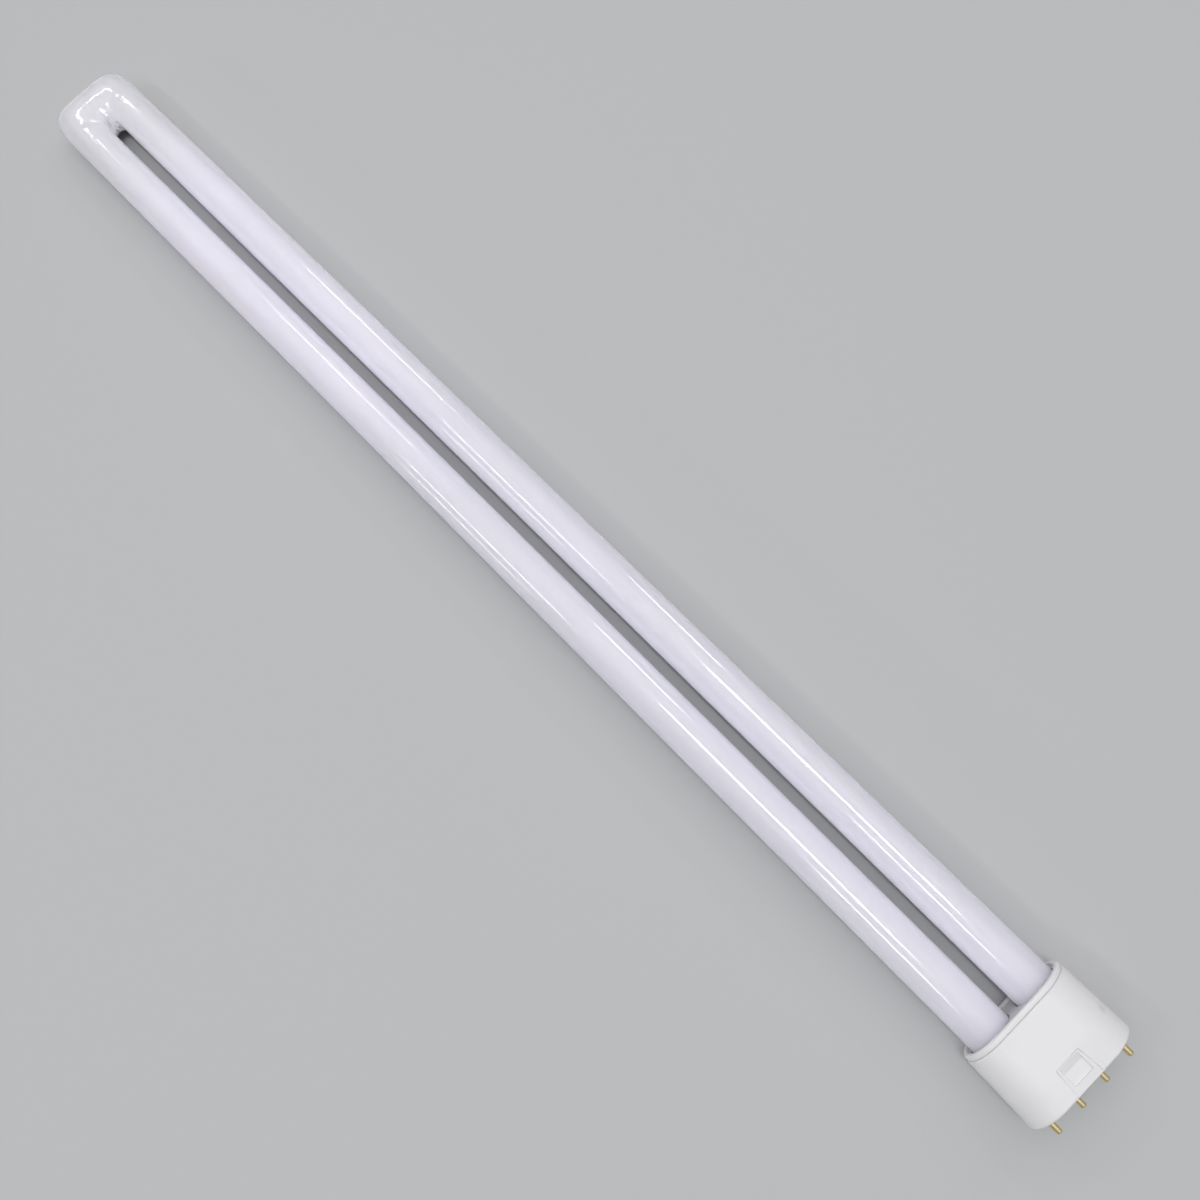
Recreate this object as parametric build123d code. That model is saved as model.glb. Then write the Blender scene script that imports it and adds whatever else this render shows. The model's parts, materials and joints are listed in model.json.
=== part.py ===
from build123d import *
from math import atan2, cos, pi, radians, sin, tan
import os

# Twin-tube fluorescent lamp with a four-pin cap. Sizes in millimetres.
# The lamp is drawn upright: pin face at z = 0, legs along +Z and side by side along X,
# broad faces of the cap towards +Y and -Y. At the end it is laid down on one broad side,
# with the pins towards +X, as it comes to rest on a table.

# Discharge tube
overall_length = 533.0  # pin face to the outside of the bend
tube_diameter = 16.0
leg_gap = 4.5  # clear slot between the two legs
bend_depth = 24.0  # outside of the bend to the closed end of the slot
bend_squareness = 5.0  # power of the outline: 2 is an ellipse, higher is squarer
bend_sections = 17  # elliptical sections from leg to leg
leg_inside_cap = 10.0  # full-round length of a leg below the tray floor
leg_end_rounding = 5.0
pinch_width = 11.0
pinch_thickness = 3.4
pinch_drop = 2.0  # flat pinch below the rounded leg end
pinch_overlap = 3.0  # flat pinch that runs up into the rounded leg end
pinch_wire_spacing = 5.0  # between the two wires that leave one pinch

# Cap shell
shell_height = 26.0
shell_draft = 1.3  # degrees, narrowing towards the tubes
shell_wall = 1.8
pin_face_rounding = 0.8
shell_mouth_chamfer = 0.35

# Latch recess on each broad face: a ramp that widens towards the pins, with a catch pocket in it
ramp_height = 9.7  # above the pin face, where the ramp runs out
ramp_top_width = 9.6
ramp_pin_end_width = 11.6
ramp_depth = 0.6  # at the pin face
pocket_width = 7.8
pocket_depth = 1.1
pocket_shoulder = 2.7  # catch shoulder above the pin face
pocket_floor_length = 4.3  # flat floor, from the shoulder up
pocket_slope_length = 2.4  # sloped upper end of the pocket
cut_margin = 2.0  # reach of the cutting shapes past the faces that they open

# Cap cover
rim_height = 2.0  # rim top above the shell mouth
rim_width = 1.7
rim_rounding = 0.75  # outer edge
rim_inner_chamfer = 0.4
tray_depth = 1.0  # tray floor below the rim top
cover_step = 0.35  # side of the cover stands back from the side of the shell
parting_groove = 0.3
plug_length = 8.0  # reach of the socket plug into the shell
plug_clearance = 0.15
socket_wall = 0.9
socket_clearance = 0.4  # radial room round each leg, filled by cement lower down
cement_setback = 1.6  # cement top below the tray floor

# Contact pins
pin_count = 4
pin_pitch = 11.0
pin_diameter = 2.4
pin_length = 6.6  # clear of the pin face
pin_tip_chamfer = 0.5
pin_neck_diameter = 1.7  # riveted through the floor
pin_boss_wall = 1.8
pin_boss_height = 1.8  # above the inner floor
pin_flange_width = 0.9  # rivet head past the side of the neck
pin_flange_thickness = 0.6
pin_stem_length = 1.0  # inner end above the rivet head

# Lead wires
wire_diameter = 0.6
wire_bend_radius = 0.7
wire_straight = 1.0  # straight run beside each end, clear of pin and pinch
wire_in_pin = 1.8
wire_in_pinch = 2.0

# Round sections are concentric about each leg, from the glass outwards
tube_radius = tube_diameter / 2
socket_radius = tube_radius + socket_clearance
plug_radius = socket_radius + socket_wall
mouth_radius = plug_radius + plug_clearance + shell_wall
pin_end_radius = mouth_radius + shell_height * tan(radians(shell_draft))
cover_radius = mouth_radius - cover_step
leg_offset = (tube_diameter + leg_gap) / 2
pin_neck_radius = pin_neck_diameter / 2

# Heights above the pin face
slot_centre_height = overall_length - bend_depth - leg_gap / 2
bend_crest_height = overall_length - bend_depth / 2
tray_height = shell_height + rim_height - tray_depth
plug_bottom = shell_height - plug_length
leg_bottom = tray_height - leg_inside_cap - leg_end_rounding
pinch_bottom = leg_bottom - pinch_drop
pin_boss_top = shell_wall + pin_boss_height
pin_top = pin_boss_top + pin_flange_thickness + pin_stem_length

pin_places = [(number - (pin_count - 1) / 2) * pin_pitch for number in range(pin_count)]
leg_places = (-leg_offset, leg_offset)


def oval(radius, height):
    # cap section: half-round ends about the two legs, joined by flat sides
    return Pos(0, 0, height) * SlotCenterToCenter(2 * leg_offset, 2 * radius)


def ring(place, outer_radius, inner_radius, height):
    return Pos(place, 0, height) * (Circle(outer_radius) - Circle(inner_radius))


def wire_exit(pin_place):
    # each pin is fed from the nearer leg, by the wire on the pin's side of it
    leg_place = min(leg_places, key=lambda place: abs(place - pin_place))
    return leg_place + pinch_wire_spacing / 2 * (1 if pin_place > leg_place else -1)


def bend_section(angle):
    # ellipse in a plane that turns about the centre of the slot end, from the slot to the outline
    half_width = leg_offset + tube_radius
    height = overall_length - slot_centre_height
    spread = abs(cos(angle)) ** bend_squareness + (sin(angle) * half_width / height) ** bend_squareness
    half_depth = (half_width / spread ** (1 / bend_squareness) - leg_gap / 2) / 2
    outward = Vector(cos(angle), 0, sin(angle))
    centre = Vector(0, 0, slot_centre_height) + outward * (leg_gap / 2 + half_depth)
    plane = Plane(centre, x_dir=outward, z_dir=(-sin(angle), 0, cos(angle)))
    quarters = [
        EllipticalCenterArc((0, 0), half_depth, tube_radius, start_angle=start, arc_size=90)
        for start in (0, 90, 180, 270)
    ]
    return plane * make_face(quarters)


def make_bend():
    # loft from leg to leg, round the closed end of the slot
    return loft([bend_section(pi * number / (bend_sections - 1)) for number in range(bend_sections)])


def make_leg(leg_place):
    # straight leg, rounded off inside the cap, with a flat pinch below
    leg = extrude(Pos(leg_place, 0, leg_bottom) * Circle(tube_radius), slot_centre_height - leg_bottom)
    leg = fillet(leg.edges().sort_by(Axis.Z)[0], leg_end_rounding)
    pinch_section = Pos(leg_place, 0, pinch_bottom) * SlotOverall(pinch_width, pinch_thickness)
    return leg + extrude(pinch_section, pinch_drop + pinch_overlap)


def make_discharge_tube():
    tube = make_bend()
    for leg_place in leg_places:
        tube += make_leg(leg_place)
    for pin_place in pin_places:
        wire_seat = Pos(wire_exit(pin_place), 0, pinch_bottom) * Circle(wire_diameter / 2)
        tube -= extrude(wire_seat, wire_in_pinch)
    return tube


def make_latch_cutter():
    # ramp and catch pocket of the +Y face, cut from profiles seen from the side and from the front
    face_y = pin_end_radius
    outer_y = face_y + cut_margin
    ramp_top_y = face_y - ramp_height * tan(radians(shell_draft))
    ramp_slope = (ramp_top_y - face_y + ramp_depth) / ramp_height
    side_profile = Polyline(
        (outer_y, -cut_margin),
        (face_y - ramp_depth - cut_margin * ramp_slope, -cut_margin),
        (ramp_top_y, ramp_height),
        (outer_y, ramp_height),
        close=True,
    )
    flare = (ramp_pin_end_width - ramp_top_width) / ramp_height
    low_half_width = (ramp_pin_end_width + cut_margin * flare) / 2
    front_profile = Polyline(
        (-low_half_width, -cut_margin),
        (low_half_width, -cut_margin),
        (ramp_top_width / 2, ramp_height),
        (-ramp_top_width / 2, ramp_height),
        close=True,
    )
    ramp = extrude(Plane.YZ * make_face(side_profile), amount=low_half_width, both=True)
    ramp &= extrude(Plane.XZ * make_face(front_profile), amount=-outer_y)
    floor_y = face_y - pocket_depth
    floor_top = pocket_shoulder + pocket_floor_length
    slope_top = floor_top + pocket_slope_length
    pocket_profile = Polyline(
        (outer_y, pocket_shoulder),
        (floor_y, pocket_shoulder),
        (floor_y, floor_top),
        (face_y - slope_top * tan(radians(shell_draft)), slope_top),
        (outer_y, slope_top),
        close=True,
    )
    return ramp + extrude(Plane.YZ * make_face(pocket_profile), amount=pocket_width / 2, both=True)


def make_cap_shell():
    # drafted oval cup with an even wall, open towards the tubes
    body = extrude(oval(pin_end_radius, 0), amount=shell_height, taper=shell_draft)
    body = fillet(body.faces().sort_by(Axis.Z)[0].edges(), pin_face_rounding)
    shell = offset(body, amount=-shell_wall, openings=body.faces().sort_by(Axis.Z)[-1])
    mouth = shell.faces().sort_by(Axis.Z)[-1]
    shell = chamfer(mouth.outer_wire().edges(), shell_mouth_chamfer)
    latch = make_latch_cutter()
    shell -= latch
    shell -= mirror(latch, about=Plane.XZ)
    for pin_place in pin_places:
        boss = Pos(pin_place, 0, shell_wall) * Circle(pin_neck_radius + pin_boss_wall)
        shell += extrude(boss, pin_boss_height)
    for pin_place in pin_places:
        shell -= extrude(Pos(pin_place, 0, 0) * Circle(pin_neck_radius), pin_boss_top)
    return shell


def make_cap_cover():
    # raised rim on the shell mouth, sunken tray inside it, and a plug with one socket for each leg
    cover = extrude(oval(cover_radius, shell_height), rim_height)
    cover -= extrude(oval(cover_radius - rim_width, tray_height), tray_depth)
    rim_top = cover.faces().sort_by(Axis.Z)[-1]
    cover = fillet(rim_top.outer_wire().edges(), rim_rounding)
    rim_top = cover.faces().sort_by(Axis.Z)[-1]
    cover = chamfer(rim_top.inner_wires().edges(), rim_inner_chamfer)
    cover = chamfer(cover.faces().sort_by(Axis.Z)[0].edges(), parting_groove)
    cover += extrude(oval(plug_radius, plug_bottom), plug_length)
    for leg_place in leg_places:
        cover -= extrude(Pos(leg_place, 0, plug_bottom) * Circle(socket_radius), tray_height - plug_bottom)
    return cover


def make_cement_ring(leg_place):
    section = ring(leg_place, socket_radius, tube_radius, plug_bottom)
    return extrude(section, tray_height - cement_setback - plug_bottom)


def make_contact_pin(pin_place):
    # turned pin: free end, neck through the floor, rivet head on the boss, blind bore for the wire
    pin = extrude(Pos(pin_place, 0, -pin_length) * Circle(pin_diameter / 2), pin_length)
    pin = chamfer(pin.edges().sort_by(Axis.Z)[0], pin_tip_chamfer)
    pin += extrude(Pos(pin_place, 0, 0) * Circle(pin_neck_radius), pin_top)
    flange = Pos(pin_place, 0, pin_boss_top) * Circle(pin_neck_radius + pin_flange_width)
    pin += extrude(flange, pin_flange_thickness)
    bore = Pos(pin_place, 0, pin_top - wire_in_pin) * Circle(wire_diameter / 2)
    return pin - extrude(bore, wire_in_pin)


def make_lead_wire(pin_place):
    # from the bottom of the pin's bore, across, and up into the pinch
    exit_place = wire_exit(pin_place)
    low_end = pin_top - wire_in_pin
    route = FilletPolyline(
        (pin_place, 0, low_end),
        (pin_place, 0, pin_top + wire_straight),
        (exit_place, 0, pinch_bottom - wire_straight),
        (exit_place, 0, pinch_bottom + wire_in_pinch),
        radius=wire_bend_radius,
    )
    return sweep(Pos(pin_place, 0, low_end) * Circle(wire_diameter / 2), path=route)


pieces = {
    "discharge_tube": make_discharge_tube(),
    "cap_shell": make_cap_shell(),
    "cap_cover": make_cap_cover(),
}
for number, leg_place in enumerate(leg_places, start=1):
    pieces[f"cement_ring_{number}"] = make_cement_ring(leg_place)
for number, pin_place in enumerate(pin_places, start=1):
    pieces[f"contact_pin_{number}"] = make_contact_pin(pin_place)
    pieces[f"lead_wire_{number}"] = make_lead_wire(pin_place)

# Laid down: the pin end of the cap and the bend touch the table, so the lamp leans by a small angle
rest_tilt = atan2(pin_end_radius - tube_radius, bend_crest_height)
lamp_axis = Vector(-cos(rest_tilt), 0, -sin(rest_tilt))
laid = Plane((0, 0, 0), x_dir=(0, 1, 0), z_dir=lamp_axis).location
laid_box = Compound([laid * piece for piece in pieces.values()]).bounding_box()
resting = Pos(-laid_box.center().X, 0, -laid_box.min.Z) * laid

os.makedirs("parts", exist_ok=True)
for name, piece in pieces.items():
    export_step(resting * piece, f"parts/{name}.step")
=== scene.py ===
import bpy
import bmesh
import json
from math import atan2, cos, exp, hypot, pi, radians, sin, tan
from mathutils import Matrix, Vector, noise


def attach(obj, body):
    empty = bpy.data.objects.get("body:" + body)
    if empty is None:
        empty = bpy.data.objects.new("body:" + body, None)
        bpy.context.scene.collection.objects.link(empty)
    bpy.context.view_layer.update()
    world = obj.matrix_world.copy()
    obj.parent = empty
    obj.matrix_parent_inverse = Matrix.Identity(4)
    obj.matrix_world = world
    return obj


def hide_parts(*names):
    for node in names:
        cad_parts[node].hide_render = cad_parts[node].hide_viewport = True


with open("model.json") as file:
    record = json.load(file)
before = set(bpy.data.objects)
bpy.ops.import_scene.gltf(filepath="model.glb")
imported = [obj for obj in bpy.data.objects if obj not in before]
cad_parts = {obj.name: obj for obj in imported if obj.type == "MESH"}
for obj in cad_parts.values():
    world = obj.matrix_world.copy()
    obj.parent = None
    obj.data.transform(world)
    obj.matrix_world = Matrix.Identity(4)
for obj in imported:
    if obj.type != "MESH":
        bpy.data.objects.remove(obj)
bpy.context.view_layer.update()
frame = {"nodes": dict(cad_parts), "record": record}
scene = bpy.context.scene
mm = 0.001


# the lamp's own frame: origin in the middle of the pin face, x towards the pins,
# y from leg to leg, z out of the broad side that faces up
def findLampFrame():
    pins = [mount for mount in frame["record"]["mounts"] if mount["kind"] == "pin"]
    along = Vector(pins[0]["axis"])
    middle = sum((Vector(pin["pos_m"]) for pin in pins), Vector()) / len(pins)
    pinFace = middle - along * pins[0]["dims"]["length_mm"] * mm / 2
    across = Vector((0, 1, 0))
    turn = Matrix((along, across, along.cross(across))).transposed().to_4x4()
    return Matrix.Translation(pinFace) @ turn


lampFrame = findLampFrame()
toLamp = lampFrame.inverted()
squareToAxis = Matrix.Rotation(pi / 2, 4, "Y")        # stands a flat circle across the lamp axis


def lampBox(node):
    points = [toLamp @ vertex.co for vertex in frame["nodes"][node].data.vertices]
    low = Vector([min(point[axis] for point in points) for axis in range(3)])
    high = Vector([max(point[axis] for point in points) for axis in range(3)])
    return low, high


def middleOf(node):
    low, high = lampBox(node)
    return (low + high) / 2


tubeLow, tubeHigh = lampBox("discharge_tube")
shellLow, shellHigh = lampBox("cap_shell")
coverLow, coverHigh = lampBox("cap_cover")
legOffset = middleOf("cement_ring_2").y        # leg axis to lamp axis
tubeRadius = tubeHigh.z
print("frame: legs", round(legOffset / mm, 2), "mm off the lamp axis")
print("frame: tube radius", round(tubeRadius / mm, 2), "mm")


# shared helpers

def smoothStep(low, high, value):
    share = min(max((value - low) / (high - low), 0), 1)
    return share * share * (3 - 2 * share)


def newVerts(result):
    return [item for item in result["geom"] if isinstance(item, bmesh.types.BMVert)]


def ringOf(verts):
    # edges that lie wholly between these vertices
    chosen = set(verts)
    return [edge for edge in {e for v in verts for e in v.link_edges} if chosen.issuperset(edge.verts)]


def meshObject(name, bm):
    mesh = bpy.data.meshes.new(name)
    bm.to_mesh(mesh)
    bm.free()
    item = bpy.data.objects.new(name, mesh)
    scene.collection.objects.link(item)
    return item


def makePiece(name, bm, material, nodes, sharpAngle):
    bmesh.ops.transform(bm, matrix=lampFrame, verts=bm.verts)
    piece = meshObject(name, bm)
    piece.data.materials.append(material)
    piece.data.shade_smooth()
    piece.data.set_sharp_from_angle(angle=sharpAngle)
    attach(piece, "root")
    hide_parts(*nodes)
    print(name, len(piece.data.polygons), "faces")
    return piece


# node helpers

def startMaterial(name):
    material = bpy.data.materials.new(name)
    material.use_nodes = True
    return material, material.node_tree, material.node_tree.nodes["Principled BSDF"]


def addNode(tree, kind, **inputs):
    node = tree.nodes.new(kind)
    for key, value in inputs.items():
        node.inputs[key.replace("_", " ")].default_value = value
    return node


def objectPoint(tree):
    return tree.nodes.new("ShaderNodeTexCoord").outputs["Object"]


def addMix(tree, mask, low, high):
    mix = tree.nodes.new("ShaderNodeMix")
    mix.data_type = "RGBA"
    for socketName, value in (("Factor", mask), ("A", low), ("B", high)):
        socket = mix.inputs[socketName]
        if isinstance(value, bpy.types.NodeSocket):
            tree.links.new(value, socket)
        else:
            socket.default_value = value
    return mix.outputs["Result"]


def addRoughness(tree, shader, mask, low, high):
    gloss = addNode(tree, "ShaderNodeMapRange", To_Min=low, To_Max=high)
    tree.links.new(mask, gloss.inputs["Value"])
    tree.links.new(gloss.outputs["Result"], shader.inputs["Roughness"])


def addBump(tree, shader, height, strength, distance):
    bump = addNode(tree, "ShaderNodeBump", Strength=strength, Distance=distance)
    tree.links.new(height, bump.inputs["Height"])
    tree.links.new(bump.outputs["Normal"], shader.inputs["Normal"])


# cloudy marks: a soft mask between two levels of a noise

cloud = {
    "detail": 4.0,
    "roughness": 0.55,
}


def buildCloudGroup():
    group = bpy.data.node_groups.new("cloudyMarks", "ShaderNodeTree")
    group.interface.new_socket("Point", in_out="INPUT", socket_type="NodeSocketVector")
    for socketName in ("Scale", "Start", "Full"):
        group.interface.new_socket(socketName, in_out="INPUT", socket_type="NodeSocketFloat")
    group.interface.new_socket("Mask", in_out="OUTPUT", socket_type="NodeSocketFloat")
    source = group.nodes.new("NodeGroupInput")
    target = group.nodes.new("NodeGroupOutput")
    marks = addNode(group, "ShaderNodeTexNoise", Detail=cloud["detail"], Roughness=cloud["roughness"])
    spread = group.nodes.new("ShaderNodeMapRange")
    spread.interpolation_type = "SMOOTHSTEP"
    group.links.new(source.outputs["Point"], marks.inputs["Vector"])
    group.links.new(source.outputs["Scale"], marks.inputs["Scale"])
    group.links.new(marks.outputs["Fac"], spread.inputs["Value"])
    group.links.new(source.outputs["Start"], spread.inputs["From Min"])
    group.links.new(source.outputs["Full"], spread.inputs["From Max"])
    group.links.new(spread.outputs["Result"], target.inputs["Mask"])
    return group


cloudGroup = buildCloudGroup()


def cloudMask(tree, point, scale, start, full):
    node = tree.nodes.new("ShaderNodeGroup")
    node.node_tree = cloudGroup
    node.inputs["Scale"].default_value = scale
    node.inputs["Start"].default_value = start
    node.inputs["Full"].default_value = full
    tree.links.new(point, node.inputs["Point"])
    return node.outputs["Mask"]


def rampAlong(tree, point, start, full):
    # 0 to 1 along x of the part's frame
    split = tree.nodes.new("ShaderNodeSeparateXYZ")
    tree.links.new(point, split.inputs["Vector"])
    ramp = addNode(tree, "ShaderNodeMapRange", From_Min=start, From_Max=full)
    ramp.interpolation_type = "SMOOTHSTEP"
    tree.links.new(split.outputs["X"], ramp.inputs["Value"])
    return ramp.outputs["Result"]


def spotMask(tree, point, place, reach, strength):
    # full strength in the middle of a spot, nothing at its reach
    away = tree.nodes.new("ShaderNodeVectorMath")
    away.operation = "DISTANCE"
    away.inputs[1].default_value = lampFrame @ Vector(place)
    tree.links.new(point, away.inputs[0])
    spot = addNode(tree, "ShaderNodeMapRange", From_Max=reach, To_Min=strength, To_Max=0.0)
    spot.interpolation_type = "SMOOTHSTEP"
    tree.links.new(away.outputs["Value"], spot.inputs["Value"])
    return spot.outputs["Result"]


# glass with a white powder coat inside

coatLook = {
    "legColour": (0.825, 0.802, 0.908, 1),
    "thinColour": (0.80, 0.779, 0.883, 1),
    "mottleScale": 55.0,
    "mottleLevels": (0.35, 0.75),
    "bendColour": (0.755, 0.742, 0.80, 1),
    "bendReach": (-0.235, -0.19),        # x in the part's frame, from the bend's greyer coat to the leg's
    "capHalfShadeColour": (0.76, 0.744, 0.836, 1),
    "capHalfShadeReach": (-0.10, -0.02),        # x where painted shade on the cap half starts and is full, for the weaker light there
    "creaseGlassAndShadeColour": (0.34, 0.33, 0.35, 1),        # bare glass in the folds at the slot's end, and painted shade where the folds reflect the dark slot
    "creasePlace": (tubeLow.x + 22.5 * mm, 0, 0),
    "creaseReach": 7.5 * mm,
    "creaseStrength": 1.0,
    "creaseStretch": (0.45, 2.2, 1.2),
    "creaseScale": 330.0,
    "creaseLevels": (0.46, 0.62),
    "smearScale": 30.0,
    "smearLevels": (0.45, 0.8),
    "roughness": (0.08, 0.11),        # clean glass, smeared glass
    "ior": 1.52,
    "specularLevel": 0.8,        # both faces of the glass
    "lightShare": 0.9,        # light that gets into the coat
    "lightReach": 24.0 * mm,        # how far it spreads there
}


def creaseGlassAndShadeMask(tree, point):
    # long thin marks, only round the end of the slot: bare glass and painted reflection of the dark slot
    look = coatLook
    folds = addNode(tree, "ShaderNodeMapping", Scale=look["creaseStretch"])
    tree.links.new(point, folds.inputs["Vector"])
    marks = cloudMask(tree, folds.outputs["Vector"], look["creaseScale"], *look["creaseLevels"])
    spot = spotMask(tree, point, look["creasePlace"], look["creaseReach"], look["creaseStrength"])
    crease = tree.nodes.new("ShaderNodeMath")
    crease.operation = "MULTIPLY"
    tree.links.new(marks, crease.inputs[0])
    tree.links.new(spot, crease.inputs[1])
    return crease.outputs["Value"]


def buildCoatedGlass():
    look = coatLook
    material, tree, shader = startMaterial("coatedGlass")
    point = objectPoint(tree)
    mottle = cloudMask(tree, point, look["mottleScale"], *look["mottleLevels"])
    coat = addMix(tree, mottle, look["legColour"], look["thinColour"])
    # painted shade: the coat turns darker towards the cap, standing in for less light on that half
    coat = addMix(tree, rampAlong(tree, point, *look["capHalfShadeReach"]), coat, look["capHalfShadeColour"])
    coat = addMix(tree, rampAlong(tree, point, *look["bendReach"]), look["bendColour"], coat)
    # part bare glass, part painted shade: dark marks in the folds for the dark slot they reflect
    coat = addMix(tree, creaseGlassAndShadeMask(tree, point), coat, look["creaseGlassAndShadeColour"])
    tree.links.new(coat, shader.inputs["Base Color"])
    smear = cloudMask(tree, point, look["smearScale"], *look["smearLevels"])
    addRoughness(tree, shader, smear, *look["roughness"])
    shader.inputs["IOR"].default_value = look["ior"]
    shader.inputs["Specular IOR Level"].default_value = look["specularLevel"]
    shader.subsurface_method = "BURLEY"        # spreads along the surface, as in a thin coat
    shader.inputs["Subsurface Weight"].default_value = look["lightShare"]
    shader.inputs["Subsurface Radius"].default_value = (1.0, 1.0, 1.0)        # alike in red, green and blue
    shader.inputs["Subsurface Scale"].default_value = look["lightReach"]
    return material


# moulded cap plastic, satin

capLook = {
    "colour": (0.825, 0.818, 0.838, 1),
    "dullColour": (0.79, 0.783, 0.798, 1),
    "dullScale": 70.0,
    "dullLevels": (0.45, 0.8),
    "scuffColour": (0.67, 0.67, 0.69, 1),
    "scuffPlace": (-10.6 * mm, 19.3 * mm, 7.2 * mm),        # from the pin face
    "scuffReach": 2.2 * mm,
    "scuffStrength": 0.75,
    "roughness": (0.36, 0.5),        # clean plastic, dull plastic
    "grainScale": 1400.0,
    "grainDetail": 3.0,
    "grainStrength": 0.12,
    "grainDepth": 0.06 * mm,
    "ior": 1.5,
}


def buildCapPlastic():
    look = capLook
    material, tree, shader = startMaterial("capPlastic")
    point = objectPoint(tree)
    dull = cloudMask(tree, point, look["dullScale"], *look["dullLevels"])
    clean = addMix(tree, dull, look["colour"], look["dullColour"])
    scuff = spotMask(tree, point, look["scuffPlace"], look["scuffReach"], look["scuffStrength"])
    tree.links.new(addMix(tree, scuff, clean, look["scuffColour"]), shader.inputs["Base Color"])
    addRoughness(tree, shader, dull, *look["roughness"])
    grain = addNode(tree, "ShaderNodeTexNoise", Scale=look["grainScale"], Detail=look["grainDetail"])
    tree.links.new(point, grain.inputs["Vector"])
    addBump(tree, shader, grain.outputs["Fac"], look["grainStrength"], look["grainDepth"])
    shader.inputs["IOR"].default_value = look["ior"]
    return material


# turned brass

brassLook = {
    "colour": (0.96, 0.83, 0.50, 1),
    "tarnish": (0.86, 0.68, 0.34, 1),
    "tarnishScale": 420.0,
    "tarnishLevels": (0.45, 0.8),
    "roughness": (0.2, 0.34),        # bright brass, tarnished brass
    "turningScale": 1500.0,
    "turningDistortion": 1.5,
    "turningDetail": 2.0,
    "turningStrength": 0.15,
    "turningDepth": 0.02 * mm,
}


def buildPinBrass():
    look = brassLook
    material, tree, shader = startMaterial("pinBrass")
    point = objectPoint(tree)
    tarnish = cloudMask(tree, point, look["tarnishScale"], *look["tarnishLevels"])
    tree.links.new(addMix(tree, tarnish, look["colour"], look["tarnish"]), shader.inputs["Base Color"])
    turning = addNode(
        tree, "ShaderNodeTexWave", Scale=look["turningScale"],
        Distortion=look["turningDistortion"], Detail=look["turningDetail"],
    )
    turning.bands_direction = "X"
    tree.links.new(point, turning.inputs["Vector"])
    addBump(tree, shader, turning.outputs["Fac"], look["turningStrength"], look["turningDepth"])
    addRoughness(tree, shader, tarnish, *look["roughness"])
    shader.inputs["Metallic"].default_value = 1.0
    return material


# gritty base cement

cementLook = {
    "colour": (0.20, 0.19, 0.17, 1),
    "gritColour": (0.12, 0.11, 0.10, 1),
    "gritScale": 900.0,
    "gritLevels": (0.35, 0.7),
    "gritStrength": 0.5,
    "gritDepth": 0.1 * mm,
    "roughness": 0.9,
}


def buildCement():
    look = cementLook
    material, tree, shader = startMaterial("baseCement")
    point = objectPoint(tree)
    grit = cloudMask(tree, point, look["gritScale"], *look["gritLevels"])
    tree.links.new(addMix(tree, grit, look["colour"], look["gritColour"]), shader.inputs["Base Color"])
    addBump(tree, shader, grit, look["gritStrength"], look["gritDepth"])
    shader.inputs["Roughness"].default_value = look["roughness"]
    return material


# plated lead wire

wireLook = {
    "colour": (0.72, 0.70, 0.67, 1),
    "dullColour": (0.52, 0.50, 0.48, 1),
    "dullScale": 600.0,
    "dullLevels": (0.4, 0.75),
    "roughness": (0.25, 0.5),        # bright plating, dull plating
}


def buildWireMetal():
    look = wireLook
    material, tree, shader = startMaterial("leadWire")
    point = objectPoint(tree)
    dull = cloudMask(tree, point, look["dullScale"], *look["dullLevels"])
    tree.links.new(addMix(tree, dull, look["colour"], look["dullColour"]), shader.inputs["Base Color"])
    addRoughness(tree, shader, dull, *look["roughness"])
    shader.inputs["Metallic"].default_value = 1.0
    return material


coatedGlass = buildCoatedGlass()
capPlastic = buildCapPlastic()
pinBrass = buildPinBrass()
baseCement = buildCement()
leadWire = buildWireMetal()
print("materials ready")


# discharge tube: one glass tube, bent square round the end of the slot

glassTube = {
    "bendDepth": 24.0 * mm,        # outside of the bend to the slot
    "squareness": 5.0,
    "ringSegments": 160,
    "bendRings": 136,
    "legRings": 96,
    "legEnd": -17.0 * mm,        # full-round leg down to here, inside the cap
    "longEdge": 100.0 * mm,        # only the legs have edges longer than this
    "sameRing": 0.01 * mm,        # vertices of one ring are this near to its place
    # place, half width and half thickness in mm, from the round leg to the pinch
    "pinchSteps": ((-14.2, 7.6, 6.6), (-12.6, 6.6, 4.0), (-12.0, 5.8, 1.9), (-10.0, 5.5, 1.7)),
    "bendThinning": 0.3 * mm,        # the bend is pressed a little flatter than the legs
    "thinningReach": (0.4, 0.8),        # from the legs' side of the bend to its outside
    "wrinkleHeight": 0.46 * mm,
    "wrinkleLength": 3.0 * mm,
    "wrinklePlace": 5.2 * mm,        # slot's end to the middle of the puckers
    "wrinkleOuterReach": 4.0 * mm,
    "wrinkleSlotReach": 5.5 * mm,
    "wrinkleHalfWidth": 9.0 * mm,
    "wrinkleFaintest": 0.01,
    "sharpAngle": radians(60),
}


def squareBend(bm, slotCentre, innerReach):
    # stretch every section from the slot outwards to the squared outline
    power = glassTube["squareness"]
    halfWidth = legOffset + tubeRadius
    height = slotCentre - tubeLow.x
    for vertex in bm.verts:
        along = slotCentre - vertex.co.x
        reach = hypot(along, vertex.co.y)
        sideways = (abs(vertex.co.y) / reach) ** power
        lengthways = (max(along, 0) / reach * halfWidth / height) ** power
        outline = halfWidth / (sideways + lengthways) ** (1 / power)
        moved = innerReach + (reach - innerReach) * (outline - innerReach) / (2 * tubeRadius)
        pressed = smoothStep(*glassTube["thinningReach"], along / reach)
        vertex.co.x = slotCentre - along * moved / reach
        vertex.co.y *= moved / reach
        vertex.co.z *= 1 - glassTube["bendThinning"] / tubeRadius * pressed


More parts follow.
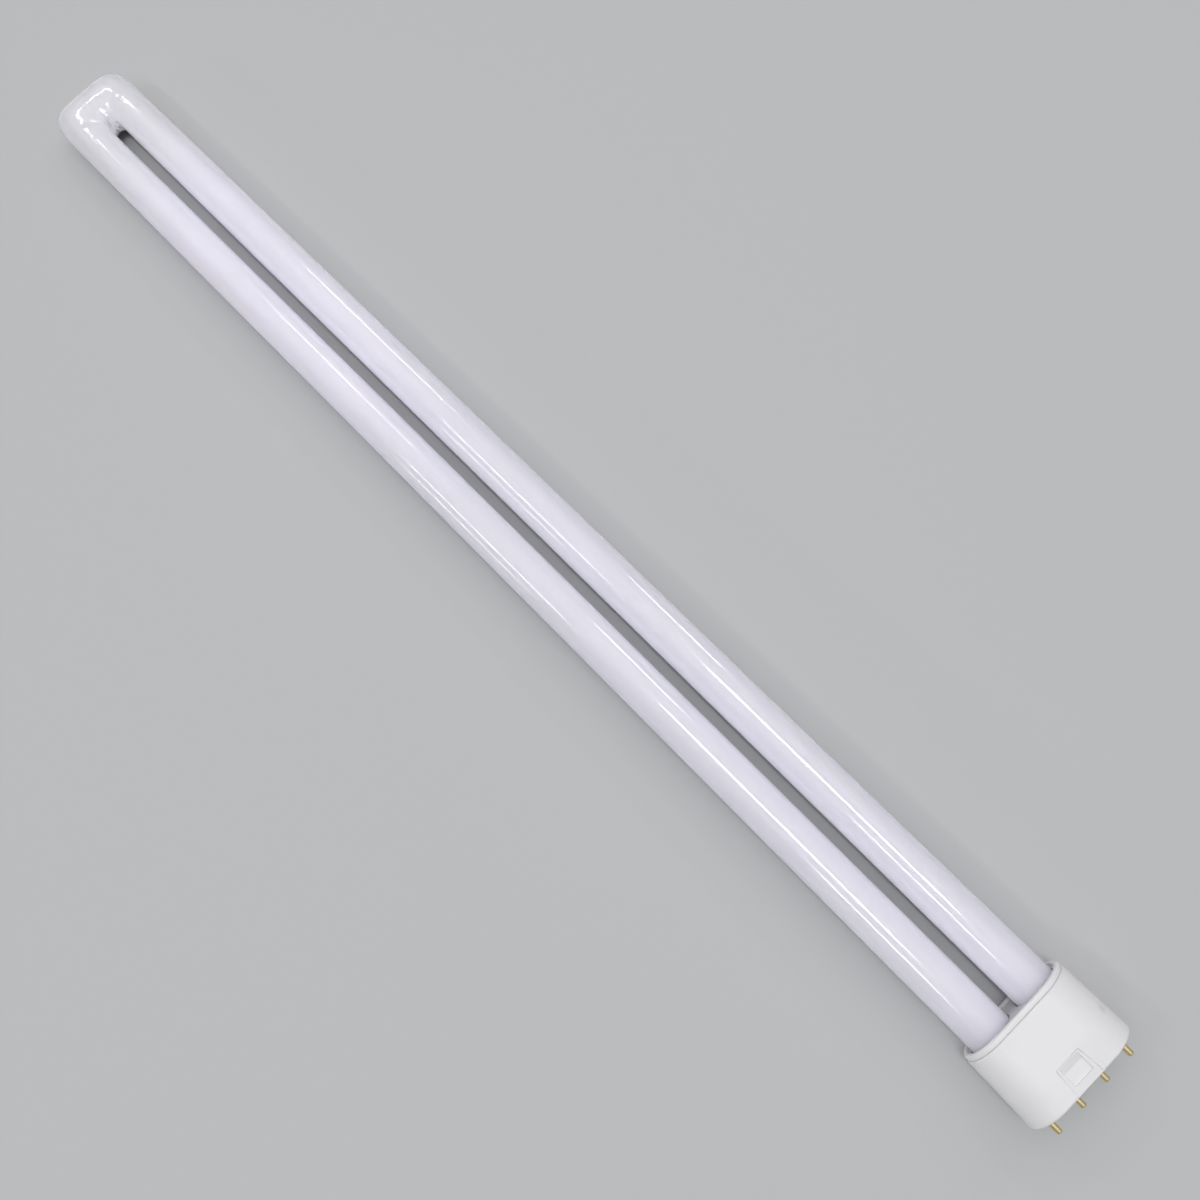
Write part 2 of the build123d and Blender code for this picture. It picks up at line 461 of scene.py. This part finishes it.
def wrinkleBend(bm, slotCentre, innerReach):
    # the glass is puckered on the inner slope of the bend, where it was squeezed
    bm.normal_update()
    middle = slotCentre - innerReach - glassTube["wrinklePlace"]
    for vertex in bm.verts:
        sideReach = "wrinkleOuterReach" if vertex.co.x < middle else "wrinkleSlotReach"
        along = (vertex.co.x - middle) / glassTube[sideReach]
        across = vertex.co.y / glassTube["wrinkleHalfWidth"]
        mask = exp(-along * along - across ** 4)
        if mask > glassTube["wrinkleFaintest"]:
            ripple = noise.noise(vertex.co / glassTube["wrinkleLength"])
            vertex.co += vertex.normal * ripple * mask * glassTube["wrinkleHeight"]


def ringAt(bm, place, side):
    near = glassTube["sameRing"]
    return [v for v in bm.verts if abs(v.co.x - place) < near and v.co.y * side > 0]


def longEdges(bm, side):
    chosen = []
    for edge in bm.edges:
        start, end = edge.verts
        if abs(start.co.x - end.co.x) > glassTube["longEdge"] and start.co.y * side > 0:
            chosen.append(edge)
    return chosen


def extendLegs(bm, slotCentre):
    # straight legs, then a rounded end that flattens into the pinch
    for side in (-1, 1):
        axis = side * legOffset
        grown = bmesh.ops.extrude_edge_only(bm, edges=ringOf(ringAt(bm, slotCentre, side)))
        for vertex in newVerts(grown):
            vertex.co.x = glassTube["legEnd"]
        bmesh.ops.subdivide_edges(
            bm, edges=longEdges(bm, side), cuts=glassTube["legRings"], use_grid_fill=True
        )
        endRing = ringAt(bm, glassTube["legEnd"], side)
        halfWidth, halfHeight = tubeRadius, tubeRadius
        for place, width, thickness in glassTube["pinchSteps"]:
            grown = bmesh.ops.extrude_edge_only(bm, edges=ringOf(endRing))
            endRing = newVerts(grown)
            for vertex in endRing:
                vertex.co.x = place * mm
                vertex.co.y = axis + (vertex.co.y - axis) * width * mm / halfWidth
                vertex.co.z *= thickness * mm / halfHeight
            halfWidth, halfHeight = width * mm, thickness * mm
        bmesh.ops.contextual_create(bm, geom=ringOf(endRing))


def buildGlassTube():
    look = glassTube
    innerReach = legOffset - tubeRadius
    slotCentre = tubeLow.x + look["bendDepth"] + innerReach
    bm = bmesh.new()
    toLeg = Matrix.Translation((slotCentre, legOffset, 0)) @ squareToAxis
    bmesh.ops.create_circle(bm, segments=look["ringSegments"], radius=tubeRadius, matrix=toLeg)
    bmesh.ops.spin(
        bm, geom=bm.verts[:] + bm.edges[:], cent=(slotCentre, 0, 0), axis=(0, 0, 1),
        angle=pi, steps=look["bendRings"],
    )
    squareBend(bm, slotCentre, innerReach)
    extendLegs(bm, slotCentre)
    bmesh.ops.recalc_face_normals(bm, faces=bm.faces)
    wrinkleBend(bm, slotCentre, innerReach)
    makePiece("glass_tube", bm, coatedGlass, ["discharge_tube"], look["sharpAngle"])


buildGlassTube()


# cap: oval rings stacked along the lamp axis

capMoulding = {
    "filletSteps": 8,
    "sharpAngle": radians(16),
    "softSegments": 2,
}


def startOval(bm, radius, place, segments):
    # half-round ends about the two leg axes, joined by flat sides
    upright = Matrix.Rotation(pi / segments, 4, "X") @ squareToAxis
    ring = bmesh.ops.create_circle(bm, segments=segments, radius=radius, matrix=upright)["verts"]
    for vertex in ring:
        vertex.co.x = place
        vertex.co.y += legOffset if vertex.co.y > 0 else -legOffset
    return ring


def nextOval(bm, ring, radius, place):
    grown = newVerts(bmesh.ops.extrude_edge_only(bm, edges=ringOf(ring)))
    for vertex in grown:
        axis = legOffset if vertex.co.y > 0 else -legOffset
        outward = Vector((0, vertex.co.y - axis, vertex.co.z)).normalized() * radius
        vertex.co = (place, axis + outward.y, outward.z)
    return grown


def arcStations(centreRadius, centrePlace, rounding, start, end):
    # radius and place round a fillet; 0 degrees points out, 90 degrees towards the pins
    steps = capMoulding["filletSteps"]
    stations = []
    for step in range(steps + 1):
        angle = radians(start + (end - start) * step / steps)
        stations.append((centreRadius + rounding * cos(angle), centrePlace + rounding * sin(angle)))
    return stations


def soften(piece, width):
    # small rounding on hard edges, with flat faces kept flat
    bevel = piece.modifiers.new("softEdges", "BEVEL")
    bevel.limit_method = "ANGLE"
    bevel.angle_limit = capMoulding["sharpAngle"]
    bevel.width = width
    bevel.segments = capMoulding["softSegments"]
    bevel.use_clamp_overlap = False
    flat = piece.modifiers.new("flatFaces", "WEIGHTED_NORMAL")
    flat.keep_sharp = False


# cap shell: drafted and hollow, with a latch recess cut into each broad face

capShell = {
    "wall": 1.8 * mm,
    "draft": radians(1.3),        # the cap narrows towards the tubes
    "pinFaceRounding": 0.8 * mm,
    "mouthRounding": 0.45 * mm,
    "segments": 128,
    "edgeSoftening": 0.14 * mm,
}

# a ramp that widens towards the pins, and a catch pocket in it
latch = {
    "rampHeight": 9.7 * mm,        # along the lamp axis, from the pin face
    "rampTopWidth": 9.6 * mm,
    "rampPinEndWidth": 11.6 * mm,
    "rampDepth": 0.6 * mm,
    "pocketWidth": 7.8 * mm,
    "pocketDepth": 1.1 * mm,
    "shoulder": 2.7 * mm,        # pin face to the pocket
    "floorLength": 4.3 * mm,
    "slopeLength": 2.4 * mm,
    "margin": 2.0 * mm,        # how far the cutters stand clear of the shell
}


def fillRamp(bm, side):
    faceHeight = shellHigh.z
    slope = (latch["rampDepth"] - latch["rampHeight"] * tan(capShell["draft"])) / latch["rampHeight"]
    flare = (latch["rampPinEndWidth"] - latch["rampTopWidth"]) / 2 / latch["rampHeight"]
    bmesh.ops.create_cube(bm, size=2)
    for vertex in bm.verts:
        corner = vertex.co.copy()
        place = latch["margin"] if corner.x > 0 else -latch["rampHeight"]
        floor = faceHeight - latch["rampDepth"] - place * slope
        vertex.co.x = place
        vertex.co.y = corner.y * (latch["rampPinEndWidth"] / 2 + place * flare)
        vertex.co.z = side * (faceHeight + latch["margin"] if corner.z > 0 else floor)


def fillPocket(bm, side):
    # the pocket's outline along the lamp axis, pulled across its width
    faceHeight = shellHigh.z
    floor = faceHeight - latch["pocketDepth"]
    floorTop = latch["shoulder"] + latch["floorLength"]
    slopeTop = floorTop + latch["slopeLength"]
    outside = faceHeight + latch["margin"]
    outline = (
        (latch["shoulder"], outside),
        (latch["shoulder"], floor),
        (floorTop, floor),
        (slopeTop, faceHeight - slopeTop * tan(capShell["draft"])),
        (slopeTop, outside),
    )
    halfWidth = latch["pocketWidth"] / 2
    face = bm.faces.new([bm.verts.new((-along, -halfWidth, side * out)) for along, out in outline])
    grown = bmesh.ops.extrude_face_region(bm, geom=[face])
    bmesh.ops.translate(bm, verts=newVerts(grown), vec=(0, latch["pocketWidth"], 0))


def buildCutter(name, fill, side):
    bm = bmesh.new()
    fill(bm, side)
    bmesh.ops.recalc_face_normals(bm, faces=bm.faces)
    return meshObject(name, bm)


def cutPiece(blank, cutters):
    # exact differences, baked into a new mesh
    for cutter in cutters:
        cut = blank.modifiers.new(cutter.name, "BOOLEAN")
        cut.operation = "DIFFERENCE"
        cut.solver = "EXACT"
        cut.object = cutter
    bpy.context.view_layer.update()
    evaluated = blank.evaluated_get(bpy.context.evaluated_depsgraph_get())
    mesh = bpy.data.meshes.new_from_object(evaluated)
    for spent in (*cutters, blank):
        bpy.data.objects.remove(spent)
    return mesh


def buildShellBlank():
    look = capShell
    mouthPlace = shellLow.x
    pinEndRadius = shellHigh.z
    mouthRadius = pinEndRadius + mouthPlace * tan(look["draft"])
    pinEdge = look["pinFaceRounding"]
    mouthEdge = look["mouthRounding"]
    stations = arcStations(pinEndRadius - pinEdge, -pinEdge, pinEdge, 90, 0)
    stations += arcStations(mouthRadius - mouthEdge, mouthPlace + mouthEdge, mouthEdge, 0, -90)
    stations.append((mouthRadius - look["wall"], mouthPlace))
    stations.append((pinEndRadius - look["wall"], -look["wall"]))
    bm = bmesh.new()
    ring = startOval(bm, *stations[0], look["segments"])
    bmesh.ops.contextual_create(bm, geom=ringOf(ring))
    for radius, place in stations[1:]:
        ring = nextOval(bm, ring, radius, place)
    bmesh.ops.contextual_create(bm, geom=ringOf(ring))
    bmesh.ops.recalc_face_normals(bm, faces=bm.faces)
    return meshObject("capShellBlank", bm)


def buildCapShell():
    blank = buildShellBlank()
    cutters = []
    for side, word in ((1, "Upper"), (-1, "Lower")):
        cutters.append(buildCutter("ramp" + word, fillRamp, side))
        cutters.append(buildCutter("pocket" + word, fillPocket, side))
    bm = bmesh.new()
    bm.from_mesh(cutPiece(blank, cutters))
    sharpAngle = capMoulding["sharpAngle"]
    piece = makePiece("cap_shell_moulding", bm, capPlastic, ["cap_shell"], sharpAngle)
    soften(piece, capShell["edgeSoftening"])


buildCapShell()


# cap cover: rim, sunken tray, and a plug with a socket for each leg

capCover = {
    "sideRadius": coverHigh.y - legOffset,
    "rimWidth": 1.7 * mm,
    "rimRounding": 0.75 * mm,
    "innerRounding": 0.4 * mm,
    "trayDepth": 1.0 * mm,
    "groove": 0.42 * mm,
    "socketRadius": 8.4 * mm,
    "plugWall": 0.9 * mm,
    "segments": 128,
    "socketSegments": 96,
    "edgeSoftening": 0.1 * mm,
}


def addSocketRings(bm, place):
    rings = []
    for side in (-1, 1):
        toSocket = Matrix.Translation((place, side * legOffset, 0)) @ squareToAxis
        circle = bmesh.ops.create_circle(
            bm, segments=capCover["socketSegments"], radius=capCover["socketRadius"], matrix=toSocket
        )
        rings.append(circle["verts"])
    return rings


def buildCapCover():
    look = capCover
    rimTop = coverLow.x
    partingPlace = shellLow.x
    trayPlace = rimTop + look["trayDepth"]
    plugEnd = coverHigh.x
    side = look["sideRadius"]
    innerSide = side - look["rimWidth"]
    outerEdge = look["rimRounding"]
    innerEdge = look["innerRounding"]
    plugRadius = look["socketRadius"] + look["plugWall"]
    stations = [(plugRadius, plugEnd), (plugRadius, partingPlace)]
    stations += [(side - look["groove"], partingPlace), (side, partingPlace - look["groove"])]
    stations += arcStations(side - outerEdge, rimTop + outerEdge, outerEdge, 0, -90)
    stations += arcStations(innerSide + innerEdge, rimTop + innerEdge, innerEdge, 270, 180)
    stations.append((innerSide, trayPlace))
    bm = bmesh.new()
    ring = startOval(bm, *stations[0], look["segments"])
    plugRing = ring
    for radius, place in stations[1:]:
        ring = nextOval(bm, ring, radius, place)
    sockets = addSocketRings(bm, trayPlace)
    trayEdges = ringOf(ring) + [edge for socket in sockets for edge in ringOf(socket)]
    bmesh.ops.triangle_fill(bm, use_beauty=True, edges=trayEdges)
    plugEdges = ringOf(plugRing)
    for socket in sockets:
        grown = newVerts(bmesh.ops.extrude_edge_only(bm, edges=ringOf(socket)))
        for vertex in grown:
            vertex.co.x = plugEnd
        plugEdges += ringOf(grown)
    bmesh.ops.triangle_fill(bm, use_beauty=True, edges=plugEdges)
    bmesh.ops.recalc_face_normals(bm, faces=bm.faces)
    sharpAngle = capMoulding["sharpAngle"]
    piece = makePiece("cap_cover_moulding", bm, capPlastic, ["cap_cover"], sharpAngle)
    soften(piece, look["edgeSoftening"])


buildCapCover()


# contact pins: turned, with a rounded tip and a riveted neck

contactPin = {
    "count": 4,
    "radius": 1.2 * mm,
    "tipRounding": 0.55 * mm,
    "tipSteps": 6,
    "neckRadius": 0.85 * mm,
    "rivetRadius": 1.75 * mm,
    "rivetPlace": -3.6 * mm,
    "rivetThickness": 0.6 * mm,
    "segments": 48,
    "mergeReach": 0.001 * mm,
    "sharpAngle": radians(32),
}


def buildContactPin(number):
    look = contactPin
    node = f"contact_pin_{number}"
    low, high = lampBox(node)
    across = (low.y + high.y) / 2
    rounding = look["tipRounding"]
    profile = [(high.x, 0)]
    for step in range(look["tipSteps"] + 1):
        angle = radians(90 * step / look["tipSteps"])
        along = high.x - rounding + rounding * cos(angle)
        profile.append((along, look["radius"] - rounding + rounding * sin(angle)))
    rivetBack = look["rivetPlace"] - look["rivetThickness"]
    profile += [(0, look["radius"]), (0, look["neckRadius"]), (look["rivetPlace"], look["neckRadius"])]
    profile += [(look["rivetPlace"], look["rivetRadius"]), (rivetBack, look["rivetRadius"])]
    profile += [(rivetBack, look["neckRadius"]), (low.x, look["neckRadius"]), (low.x, 0)]
    bm = bmesh.new()
    points = [bm.verts.new((along, across, out)) for along, out in profile]
    edges = [bm.edges.new(pair) for pair in zip(points, points[1:])]
    bmesh.ops.spin(
        bm, geom=points + edges, cent=(0, across, 0), axis=(1, 0, 0),
        angle=2 * pi, steps=look["segments"], use_merge=True,
    )
    bmesh.ops.remove_doubles(bm, verts=bm.verts, dist=look["mergeReach"])
    bmesh.ops.recalc_face_normals(bm, faces=bm.faces)
    makePiece(f"brass_pin_{number}", bm, pinBrass, [node], look["sharpAngle"])


for pinNumber in range(1, contactPin["count"] + 1):
    buildContactPin(pinNumber)


# cement rings and lead wires stay as they are, with their own finishes
for node, item in frame["nodes"].items():
    if node.startswith("cement_ring"):
        item.data.materials[0] = baseCement
    if node.startswith("lead_wire"):
        item.data.materials[0] = leadWire
print("cement and wires dressed")


# studio: pale floor, a soft sky and ceiling strip lights

studio = {
    "floorSize": 8.0,
    "floorColour": (0.53, 0.54, 0.55, 1),
    "bounceColour": (0.72, 0.72, 0.72, 1),        # the floor as it lights the lamp from below
    "floorRoughness": 0.8,
    "skyLow": 0.20,        # sky level at the horizon and overhead
    "skyHigh": 0.35,
    "keyLevel": 0.68,        # soft bright patch of sky
    "keyDirection": (-0.24, 0.16, 0.92),
    "keyStart": 0.45,        # cosines where the patch starts and is full
    "keyFull": 1.0,
    "stripHeight": 2.0,
    "stripWidth": 0.12,
    "stripRadiance": 18.0,
}

# strip lights seen from the pin face: start x y, end x y, share of the full level
ceilingStrips = (
    ((-2.30, 1.79), (-1.60, 1.78), 1.0),
    ((-1.55, -1.65), (-0.85, -1.60), 1.0),
    ((-1.03, 3.10), (-0.54, 2.90), 2.4),
    ((-0.40, -0.036), (0.30, -0.03), 1.6),
    ((0.08, -1.48), (0.54, -1.45), 1.0),
    ((-2.68, -0.15), (-2.68, 0.50), 1.0),
    ((-3.55, -6.50), (-2.12, -6.00), 5.0),
)


def addStrip(number, start, end, share):
    middle = (Vector(start) + Vector(end)) / 2
    reach = Vector(end) - Vector(start)
    lamp = bpy.data.lights.new(f"strip{number}", "AREA")
    lamp.shape = "RECTANGLE"
    lamp.size = reach.length
    lamp.size_y = studio["stripWidth"]
    lamp.energy = studio["stripRadiance"] * share * pi * lamp.size * lamp.size_y
    item = bpy.data.objects.new(f"strip{number}", lamp)
    item.location = lampFrame @ Vector((middle.x, middle.y, studio["stripHeight"]))
    item.rotation_euler.z = atan2(reach.y, reach.x)
    scene.collection.objects.link(item)


def buildFloor():
    # the camera sees pale grey, and the light that bounces up comes off a whiter floor
    material, tree, shader = startMaterial("paleFloor")
    bounced = tree.nodes.new("ShaderNodeLightPath").outputs["Is Diffuse Ray"]
    colour = addMix(tree, bounced, studio["floorColour"], studio["bounceColour"])
    tree.links.new(colour, shader.inputs["Base Color"])
    shader.inputs["Roughness"].default_value = studio["floorRoughness"]
    bm = bmesh.new()
    bmesh.ops.create_grid(bm, x_segments=1, y_segments=1, size=studio["floorSize"] / 2)
    floor = meshObject("floor", bm)
    floor.data.materials.append(material)


def buildSky():
    # darker at the horizon, with one wide soft patch that stands in for a window
    world = bpy.data.worlds.new("studioSky")
    world.use_nodes = True
    tree = world.node_tree
    sight = tree.nodes.new("ShaderNodeTexCoord").outputs["Generated"]
    split = tree.nodes.new("ShaderNodeSeparateXYZ")
    tree.links.new(sight, split.inputs["Vector"])
    level = addNode(tree, "ShaderNodeMapRange", To_Min=studio["skyLow"], To_Max=studio["skyHigh"])
    tree.links.new(split.outputs["Z"], level.inputs["Value"])
    toKey = tree.nodes.new("ShaderNodeVectorMath")
    toKey.operation = "DOT_PRODUCT"
    toKey.inputs[1].default_value = Vector(studio["keyDirection"]).normalized()
    tree.links.new(sight, toKey.inputs[0])
    patch = addNode(
        tree, "ShaderNodeMapRange",
        From_Min=studio["keyStart"], From_Max=studio["keyFull"], To_Max=studio["keyLevel"],
    )
    patch.interpolation_type = "SMOOTHSTEP"
    tree.links.new(toKey.outputs["Value"], patch.inputs["Value"])
    total = tree.nodes.new("ShaderNodeMath")        # adds, unless told otherwise
    tree.links.new(level.outputs["Result"], total.inputs[0])
    tree.links.new(patch.outputs["Result"], total.inputs[1])
    background = tree.nodes["Background"]
    tree.links.new(total.outputs["Value"], background.inputs["Strength"])
    background.inputs["Color"].default_value = (1, 1, 1, 1)
    scene.world = world


def buildStudio():
    buildFloor()
    buildSky()
    for number, (start, end, share) in enumerate(ceilingStrips, start=1):
        addStrip(number, start, end, share)


buildStudio()
print("studio ready")


# camera, placed in the lamp's frame

view = {
    "place": (-0.12956, -0.03245, 0.37112),
    "target": (-0.21702, 0.00117, 0.0),
    "roll": radians(-23.85),
    "lens": 31.98,
    "sensor": 36.0,
    "clipStart": 0.01,
}


def buildCamera():
    place = Vector(view["place"])
    gaze = (Vector(view["target"]) - place).to_track_quat("-Z", "Y").to_matrix().to_4x4()
    roll = Matrix.Rotation(view["roll"], 4, "Z")
    shot = bpy.data.cameras.new("camera")
    shot.lens = view["lens"]
    shot.sensor_width = view["sensor"]
    shot.clip_start = view["clipStart"]
    item = bpy.data.objects.new("camera", shot)
    item.matrix_world = lampFrame @ Matrix.Translation(place) @ gaze @ roll
    scene.collection.objects.link(item)
    scene.camera = item


buildCamera()
scene.view_settings.view_transform = "Standard"
print("camera ready")
